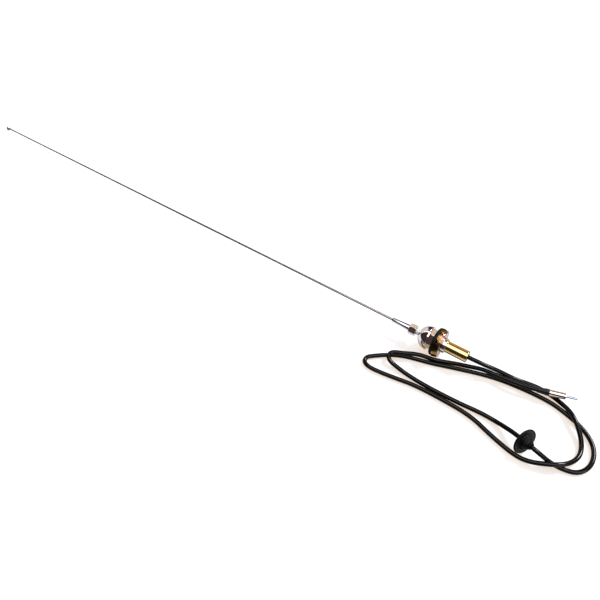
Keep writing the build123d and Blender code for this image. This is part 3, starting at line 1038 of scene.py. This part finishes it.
@dataclass
class ClawWasher:
    """Dished washer whose rim is cut into teeth that bite the panel's underside."""

    bench: Bench
    count: int = 10
    depth: float = 6.6
    sheet: float = 1.2
    hole: float = 8.05
    middle: float = 12.0
    floor_radius: float = 17.5
    rim_radius: float = 18.5
    bend_steps: int = 4
    inner_bend: Pair = (0.35, 0.38)
    slot_mouth: float = 4.6
    slot_root: float = 1.8
    slot_depth: float = 4.6
    tooth_round: float = 0.9
    columns: int = 14
    wall_rows: tuple[float, ...] = (
        4.95, 4.6, 4.56, 4.45, 4.28, 4.05, 3.7, 3.0, 2.2, 1.5, 0.9, 0.6, 0.35, 0.18, 0.06, 0.0)

    def half_slot(self, s: float) -> float:
        """Half the slot's width at a depth.

        Args:
            s: depth from the teeth's tips.

        Returns:
            Half the width, 0 below the root.
        """
        root, mouth = self.slot_root / 2, self.slot_mouth / 2
        turn = self.slot_depth - root
        if s >= self.slot_depth:
            return 0.0
        if s > turn:
            return math.sqrt(max(root ** 2 - (s - turn) ** 2, 0.0))
        width = mouth + (root - mouth) * s / turn
        if s < self.tooth_round:
            width += self.tooth_round - math.sqrt(self.tooth_round ** 2 - (self.tooth_round - s) ** 2)
        return width

    def rows(self) -> list[tuple[Pair, Pair, float]]:
        """Rows of one sector, from the hole over the bend to the teeth's tips.

        Returns:
            Outer point, inner point and half the slot's width of each row.
        """
        floor = self.depth - self.sheet
        bend = self.floor_radius - self.sheet
        back, out = self.inner_bend
        rows = [((self.depth, r), (floor, r), 0.0) for r in (self.hole, self.middle)]
        for step in range(self.bend_steps + 1):
            angle = math.pi / 2 * step / self.bend_steps
            outer = (floor + self.sheet * math.cos(angle), bend + self.sheet * math.sin(angle))
            inner = (floor - back * (1 - math.cos(angle)), bend - back + out * math.sin(angle))
            rows.append((outer, inner, 0.0))
        for s in self.wall_rows:
            r = self.floor_radius + (self.rim_radius - self.floor_radius) * (1 - s / floor)
            rows.append(((s, r), (s, r - self.sheet), self.half_slot(s)))
        return rows

    def sector(self) -> bpy.types.Mesh:
        """One tooth with its share of the floor.

        Returns:
            The mesh in mm, centred on +Y.
        """
        rows = self.rows()
        work = bmesh.new()
        outer: list[list[bmesh.types.BMVert]] = []
        inner: list[list[bmesh.types.BMVert]] = []
        for *points, half in rows:
            for grid, (s, r) in zip((outer, inner), points):
                reach = math.pi / self.count - math.asin(min(half / r, 0.99))
                angles = [reach * (2 * column / self.columns - 1) for column in range(self.columns + 1)]
                grid.append([work.verts.new((s, r * math.cos(a), r * math.sin(a))) for a in angles])
        last = len(rows) - 1
        for row in range(last):
            for column in range(self.columns):
                for grid in (outer, inner):
                    work.faces.new((grid[row][column], grid[row][column + 1],
                                    grid[row + 1][column + 1], grid[row + 1][column]))
            if rows[row][2] > 0 or rows[row + 1][2] > 0:
                for column in (0, self.columns):
                    work.faces.new((outer[row][column], outer[row + 1][column],
                                    inner[row + 1][column], inner[row][column]))
        for row in (0, last):
            for column in range(self.columns):
                work.faces.new((outer[row][column], outer[row][column + 1],
                                inner[row][column + 1], inner[row][column]))
        mesh = bpy.data.meshes.new("claw_tooth")
        work.to_mesh(mesh)
        work.free()
        return mesh

    def build(self) -> None:
        """Make the washer, one slot at its lowest point."""
        values = {"Count": self.count, "First Angle": math.pi / self.count - math.pi / 2,
                  "Material": self.bench.palette.get(CLAW_FINISH)}
        mesh = self.bench.grown("toothed_claw", self.sector(), ring_array_tree(), values)
        self.bench.piece(finish_mesh(mesh, axis_frame(), 40.0), "base", Slot.ZINC, "claw_washer", CLAW_FINISH)


@dataclass
class LowerSleeve:
    """Plated tube below the collar, with a rolled-in mouth."""

    bench: Bench
    start: float = 11.8
    end: float = 39.0
    radius: float = 7.25
    wall: float = 0.9

    def build(self) -> None:
        """Make the sleeve."""
        bore = self.radius - self.wall
        outline = [(self.start, bore, 0.0), (self.start, self.radius, 0.25),
                   (self.end, self.radius, 0.6), (self.end, bore, 0.2)]
        mesh = finish_mesh(turned("lower_tube", outline), axis_frame())
        self.bench.piece(mesh, "base", Slot.ZINC, "lower_sleeve")


# ----- pieces on the lead


@dataclass
class Grommet:
    """Rubber panel grommet: a wide flange, a stepped hub and a short nose."""

    bench: Bench
    place: Triple = (134.9, -62.85, 14.795)
    heading: float = -27.0
    lean: float = 19.0
    flange_radius: float = 15.2
    flange: float = 2.6
    fairing: tuple[Corner, ...] = ((-0.5, 3.0, 1.2), (0.0, 0.2, 0.7))
    rear: float = 2.6
    rear_radius: float = 4.6
    rear_wall: float = 0.9
    root_radius: float = 5.8
    hub_radius: float = 8.8
    hub_length: float = 6.3
    hub_step: tuple[Corner, ...] = ((-2.6, -0.4, 0.9), (-2.2, -2.0, 0.5))
    nose_radius: float = 4.2
    nose_root: tuple[Corner, ...] = ((0.0, 0.9, 0.8), (0.0, -0.5, 0.2))
    nose_end: float = 9.6
    nose_lip: tuple[Corner, ...] = ((-1.5, -0.5, 0.3), (-1.3, 0.0, 0.2), (0.0, 0.0, 0.5), (0.0, -0.7, 0.2))
    bore: float = 2.95

    def build(self) -> bpy.types.Object:
        """Make the grommet.

        Returns:
            The piece.
        """
        half, hub, nose = self.flange / 2, self.hub_radius, self.nose_radius
        rear, crown = -half - self.rear, half + self.hub_length
        outline = [(rear, self.rear_radius - self.rear_wall, 0.0), (rear, self.rear_radius, 0.4),
                   (-half, self.root_radius, 0.4), (-half, self.flange_radius, 0.9),
                   (half, self.flange_radius, 0.9), *moved(half, hub, self.fairing),
                   *moved(crown, hub, self.hub_step), *moved(crown, nose, self.nose_root),
                   *moved(self.nose_end, nose, self.nose_lip), (0.0, self.bore, 0.0)]
        place = local_frame(self.place, self.heading, self.lean)
        mesh = finish_mesh(turned("rubber_grommet", outline), place, 60.0)
        return self.bench.piece(mesh, "base", Slot.RUBBER, "grommet")


@dataclass
class AerialPlug:
    """Boot, barrel and pin of the plug on the lead's far end."""

    bench: Bench
    place: Triple = (122.6, 9.95, 10.8)
    heading: float = 18.4
    boot: float = 13.0
    boot_radius: float = 4.1
    boot_mouth: float = 3.3
    boot_ring: float = 1.4
    boot_groove: float = 0.25
    boot_collar: Pair = (9.0, 9.2)
    lead_bore: float = 2.68
    tail_start: float = 10.0
    tail_bore: float = 2.43
    barrel: float = 18.2
    radius: float = 3.85
    wall: float = 0.5
    shoulder: tuple[Corner, ...] = ((0.0, -0.4, 0.0), (0.5, -0.4, 0.0), (0.6, 0.0, 0.12))
    web: float = 1.0
    ferrule_start: float = 2.8
    ferrule_radius: float = 2.4
    ferrule_bore: float = 1.73
    pin: float = 13.6
    pin_radius: float = 1.4
    shank: float = 10.2
    shank_radius: float = 1.8
    wire_radius: float = 0.55
    wire_depth: float = 6.2

    def build(self) -> list[bpy.types.Object]:
        """Make the plug's pieces.

        Returns:
            The boot, the barrel and the pin.
        """
        place = local_frame(self.place, self.heading)
        boot, mouth, ring, groove = self.boot, self.boot_mouth, self.boot_ring, self.boot_groove
        rise, land = self.boot_collar
        cover = [(0.0, self.lead_bore, 0.0), (0.0, mouth, 0.35), (ring, mouth, 0.3), (ring, mouth - groove, 0.15),
                 (rise, self.boot_radius - groove, 0.4), (land, self.boot_radius, 0.3),
                 (boot, self.boot_radius, 0.45), (boot, self.tail_bore, 0.0),
                 (self.tail_start, self.tail_bore, 0.0), (self.tail_start, self.lead_bore, 0.0)]
        mesh = finish_mesh(turned("tapered_boot", cover, 72), place)
        pieces = [self.bench.piece(mesh, "base", Slot.BOOT, "plug_boot")]

        end, neck, inner = boot + self.barrel, boot - self.ferrule_start, self.radius - self.wall
        shell = [(neck, self.ferrule_bore, 0.0), (neck, self.ferrule_radius, 0.0),
                 (boot, self.ferrule_radius, 0.0), *moved(boot, self.radius, self.shoulder),
                 (end, self.radius, 0.22), (end, inner, 0.05),
                 (boot + self.web, inner, 0.0), (boot + self.web, self.ferrule_bore, 0.0)]
        mesh = finish_mesh(turned("plug_barrel", shell), place)
        pieces.append(self.bench.piece(mesh, "base", Slot.NICKEL, "plug_shell"))

        back, wire = end - self.shank, end - self.wire_depth
        pin = [(back, self.wire_radius, 0.0), (back, self.shank_radius, 0.2), (end, self.shank_radius, 0.15),
               (end, self.pin_radius, 0.0)]
        pin += arc_points(end + self.pin - self.pin_radius, self.pin_radius, 90.0, 180.0, 10)
        pin += [(wire, 0.0, 0.0), (wire, self.wire_radius, 0.0)]
        mesh = finish_mesh(turned("centre_pin", pin, 64), place)
        pieces.append(self.bench.piece(mesh, "base", Slot.STEEL, "plug_pin", PIN_FINISH))
        return pieces


@dataclass
class Lead:
    """The coaxial lead from the sleeve to the plug, on one smooth line."""

    palette: Palette
    diameter: float = 5.3
    length: float = 1250.0
    exit: float = 31.1
    first_straight: float = 21.5
    route: list[Triple] = field(default_factory=lambda: [
        (76.9, 8, 12), (95.9, 14.3, 3.6), (121.9, 20.2, 2.65), (140.9, 17.9, 2.65),
        (153.9, 12.8, 4.2), (163.9, 5.2, 8.5), (173.4, -3.8, 8.5), (182.4, -14.8, 6),
        (188.9, -26.8, 3.6), (190.4, -40.2, 3.6), (184.4, -54.2, 6.5), (174.9, -64.8, 9.6),
        (163.4, -71.2, 9), (148.9, -76, 4.4), (132.9, -77.2, 2.65), (102.9, -69.8, 2.65),
        (73.9, -59.8, 2.65), (35.9, -58.9, 2.65), (2.9, -60, 2.65), (-18.1, -63.9, 2.65),
        (-38.1, -67.2, 2.65), (-54.1, -68.7, 2.65), (-63.1, -65.4, 2.65), (-64.3, -57.6, 2.65),
        (-57.4, -51, 2.65), (-44.1, -39.8, 2.65), (-28.1, -30.8, 2.65), (-11.1, -25.6, 2.65),
        (6.4, -20.7, 2.65), (30.9, -11.3, 2.65), (69.9, 2.1, 2.65), (101.9, 7.2, 2.65),
        (138.9, 9.2, 2.65), (160.9, 4.5, 2.65), (180.4, -2.2, 2.65), (195.4, -12.8, 2.65),
        (203.4, -27.2, 2.65), (203.9, -44.8, 2.65), (194.9, -58.8, 2.65), (180.7, -63, 2.65),
        (166.6, -64.3, 4.3), (151.3, -70.5, 20.2), (125.4, -58.4, 11.6), (111.4, -53.2, 6.2),
        (96.9, -50, 2.65), (81.9, -49.6, 2.65), (52.9, -52.5, 2.65), (15.9, -53.6, 2.65),
        (-11.1, -52.2, 2.65), (-28.1, -49.8, 3.8), (-37.4, -48.8, 6), (-42.3, -43.9, 8),
        (-41.2, -37.2, 8.5), (-28.6, -31.2, 8.5), (-12.8, -21.2, 7.6), (6.4, -14.8, 2.65),
        (27.9, -5.2, 2.65), (43.9, -0.1, 3.5), (59.9, 2.8, 7.6), (77.9, 3.4, 8.8),
        (94.9, 3.8, 10.6),
    ])
    plug_place: Triple = AerialPlug.place
    plug_heading: float = AerialPlug.heading
    last_straight: float = 6.0
    grip: float = 10.0

    def points(self) -> list[Vector]:
        """Corners of the route.

        Returns:
            Places in the part's frame, in metres.
        """
        axis, plug = axis_frame(), local_frame(self.plug_place, self.plug_heading)
        start = [axis @ Vector((s * MM, 0, 0)) for s in (self.exit, self.exit + self.first_straight)]
        middle = [Vector((SEAT.x, 0, 0)) + Vector(place) * MM for place in self.route]
        return start + middle + [plug @ Vector((s * MM, 0, 0)) for s in (-self.last_straight, self.grip)]

    def build(self, on_lead: list[object]) -> bpy.types.Object:
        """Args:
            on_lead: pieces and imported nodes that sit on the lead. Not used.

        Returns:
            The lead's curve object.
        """
        corners = self.points()
        curve = bpy.data.curves.new("antenna_lead", "CURVE")
        curve.dimensions = "3D"
        curve.resolution_u = 24
        curve.bevel_depth = self.diameter / 2 * MM
        curve.bevel_resolution = 12
        curve.use_fill_caps = True
        line = curve.splines.new("NURBS")
        line.points.add(len(corners) - 1)
        for point, corner in zip(line.points, corners):
            point.co = (*corner, 1.0)
        line.order_u = 3
        line.use_endpoint_u = True
        line.use_smooth = True
        lead = placed("antenna_lead", curve)
        self.palette.paint(lead, Slot.JACKET)
        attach(lead, "base")
        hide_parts("antenna_cable")
        LOG.info("lead laid through %d points", len(corners))
        return lead


# ----- studio


class Side(Enum):
    """Side of a height that a patch of the room covers."""

    BELOW = "LESS_THAN"
    ABOVE = "GREATER_THAN"


@dataclass(frozen=True)
class RoomPatch:
    """A patch of the mirrored room: beyond an edge in X, and below or above a height."""

    colour: Triple
    edge: Pair
    side: Side
    height: float


@dataclass
class Studio:
    """Pale floor, soft light and the camera."""

    floor_half: float = 6.0
    floor_colour: Triple = (0.50, 0.68, 0.90)
    floor_glow: Triple = (0.69, 0.56, 0.43)
    mirrored_glow: Triple = (0.36, 0.17, 0.0)
    mirrored_table: Triple = (0.035, 0.028, 0.024)
    sheet_reach: Pair = (0.24, 0.42)
    front_edge: Pair = (-0.085, -0.115)
    daylight: float = 0.60
    room: Film = (
        (0.00, (0.08, 0.05, 0.03)),
        (0.05, (0.42, 0.26, 0.14)),
        (0.13, (0.80, 0.60, 0.44)),
        (0.20, (0.42, 0.20, 0.08)),
        (0.28, (0.28, 0.13, 0.06)),
        (0.31, (0.06, 0.04, 0.07)),
        (0.34, (0.06, 0.04, 0.07)),
        (0.37, (0.75, 0.42, 0.20)),
        (0.41, (1.15, 1.08, 1.00)),
        (0.45, (2.4, 2.4, 2.4)),
        (0.67, (2.4, 2.4, 2.4)),
        (0.70, (0.40, 0.33, 0.28)),
        (0.72, (0.09, 0.06, 0.05)),
        (0.88, (0.03, 0.022, 0.02)),
        (1.00, (0.04, 0.03, 0.025)),
    )
    patches: tuple[RoomPatch, ...] = (
        RoomPatch((0.03, 0.025, 0.12), (-0.22, -0.26), Side.BELOW, 0.24),
        RoomPatch((0.045, 0.025, 0.022), (-0.33, -0.35), Side.ABOVE, 0.455),
        RoomPatch((0.80, 0.71, 0.56), (-0.56, -0.60), Side.BELOW, 0.40),
    )
    sun: float = 2.3
    sun_angle: float = 16.0
    sun_colour: Triple = (1.0, 0.985, 0.96)
    sun_from: Triple = (0.30, 0.75, 0.80)
    lens: float = 36.0
    sensor: float = 36.0

    def build(self) -> None:
        """Set up floor, world, lamp, camera and view."""
        self.lay_floor()
        self.light_world()
        self.hang_lamp()
        self.place_camera()
        bpy.context.scene.view_settings.view_transform = "Standard"

    def lay_floor(self) -> None:
        """A white floor that shows the warm shadow, and ends in a dark table where metal mirrors it."""
        mesh = bpy.data.meshes.new("floor")
        reach = self.floor_half
        mesh.from_pydata([(-reach, -reach, 0), (reach, -reach, 0), (reach, reach, 0), (-reach, reach, 0)],
                         [], [(0, 1, 2, 3)])
        floor = placed("floor", mesh)
        material = bpy.data.materials.new("pale_floor")
        material.use_nodes = True
        material.node_tree.nodes.clear()
        graph = Graph(material.node_tree)
        rays = graph.add("ShaderNodeLightPath").outputs
        camera, glossy = rays["Is Camera Ray"], rays["Is Glossy Ray"]
        mirrored = graph.maths("MAXIMUM", glossy, rays["Is Transmission Ray"])
        tone = graph.blend(camera, (*self.mirrored_glow, 1.0), self.floor_glow)
        glow = graph.add("ShaderNodeEmission", {
            "Color": tone, "Strength": graph.maths("MAXIMUM", camera, mirrored)}).outputs[0]
        matt = graph.add("ShaderNodeBsdfDiffuse", {"Color": (*self.floor_colour, 1.0)}).outputs[0]
        sheet = graph.add("ShaderNodeAddShader", {0: matt, 1: glow}).outputs[0]
        table = graph.add("ShaderNodeEmission", {"Color": (*self.mirrored_table, 1.0)}).outputs[0]
        spot = graph.add("ShaderNodeTexCoord").outputs["Object"]
        away = graph.add("ShaderNodeVectorMath", {0: spot, 1: (SEAT.x, 0.0, 0.0)}, operation="DISTANCE")
        beyond = graph.eased(away.outputs["Value"], *self.sheet_reach)
        front = graph.eased(graph.add("ShaderNodeSeparateXYZ", {0: spot}).outputs["Y"], *self.front_edge)
        off_sheet = graph.maths("MULTIPLY", graph.maths("MAXIMUM", beyond, front), glossy)
        ground = graph.add("ShaderNodeMixShader", {"Fac": off_sheet, 1: sheet, 2: table}).outputs[0]
        graph.add("ShaderNodeOutputMaterial", {"Surface": ground})
        mesh.materials.append(material)

    def room_colour(self, graph: Graph) -> Socket:
        """Colours of the mirrored room, by the direction's height over Y and by its X.

        Args:
            graph: the world's tree.

        Returns:
            The colour socket.
        """
        direction = graph.add("ShaderNodeTexCoord").outputs["Generated"]
        split = graph.add("ShaderNodeSeparateXYZ", {0: direction}).outputs
        share = graph.maths("DIVIDE", graph.maths("ARCTAN2", split["Z"], split["Y"]), math.pi)
        colour = graph.ramp(share, self.room)
        for patch in self.patches:
            aside = graph.eased(split["X"], *patch.edge)
            covered = graph.maths(patch.side.value, share, patch.height)
            colour = graph.blend(graph.maths("MULTIPLY", aside, covered), colour, patch.colour)
        return colour

    def light_world(self) -> None:
        """Even soft light, white to the camera, with a softbox and a dark room for gloss."""
        world = bpy.data.worlds.new("studio")
        bpy.context.scene.world = world
        world.use_nodes = True
        world.node_tree.nodes.clear()
        graph = Graph(world.node_tree)
        rays = graph.add("ShaderNodeLightPath").outputs
        even = graph.add("ShaderNodeBackground", {"Color": WHITE, "Strength": self.daylight}).outputs[0]
        room = graph.add("ShaderNodeBackground", {"Color": self.room_colour(graph)}).outputs[0]
        white = graph.add("ShaderNodeBackground", {"Color": WHITE}).outputs[0]
        lit = graph.add("ShaderNodeMixShader", {"Fac": rays["Is Glossy Ray"], 1: even, 2: room}).outputs[0]
        seen = graph.add("ShaderNodeMixShader", {"Fac": rays["Is Camera Ray"], 1: lit, 2: white}).outputs[0]
        graph.add("ShaderNodeOutputWorld", {"Surface": seen})

    def hang_lamp(self) -> None:
        """One lamp from the far right."""
        lamp = bpy.data.lights.new("key_lamp", "SUN")
        lamp.energy = self.sun
        lamp.angle = math.radians(self.sun_angle)
        lamp.color = self.sun_colour
        holder = placed("key_lamp", lamp)
        holder.rotation_euler = Vector(self.sun_from).to_track_quat("Z", "Y").to_euler()

    def place_camera(self) -> None:
        """The camera at the photograph's place."""
        data = bpy.data.cameras.new("camera")
        data.lens = self.lens
        data.sensor_width = self.sensor
        data.sensor_fit = "HORIZONTAL"
        data.clip_start = 0.01
        camera = placed("camera", data)
        back = CAMERA_RIGHT.cross(CAMERA_UP)
        turn = Matrix((CAMERA_RIGHT, CAMERA_UP, back)).transposed().to_4x4()
        camera.matrix_world = Matrix.Translation(CAMERA_PLACE) @ turn
        bpy.context.scene.camera = camera


def main() -> None:
    """Dress the antenna and set the scene."""
    logging.basicConfig(level=logging.INFO, format="%(message)s")
    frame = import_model()
    palette = Palette()
    bench = Bench(palette)
    PackedPieces(palette, frame).dress()
    Studio().build()
    on_lead: list[object] = [Grommet(bench).build(), *AerialPlug(bench).build()]
    on_lead += [frame["nodes"][name] for name in ("plug_insulator", "plug_dielectric", "plug_conductor")]
    Lead(palette).build(on_lead)
    for assembly in (Mast, CouplingNut, CapNut, SeatGasket, ThreadedBody, ClawWasher, LowerSleeve):
        assembly(bench).build()


if __name__ == "__main__":
    main()
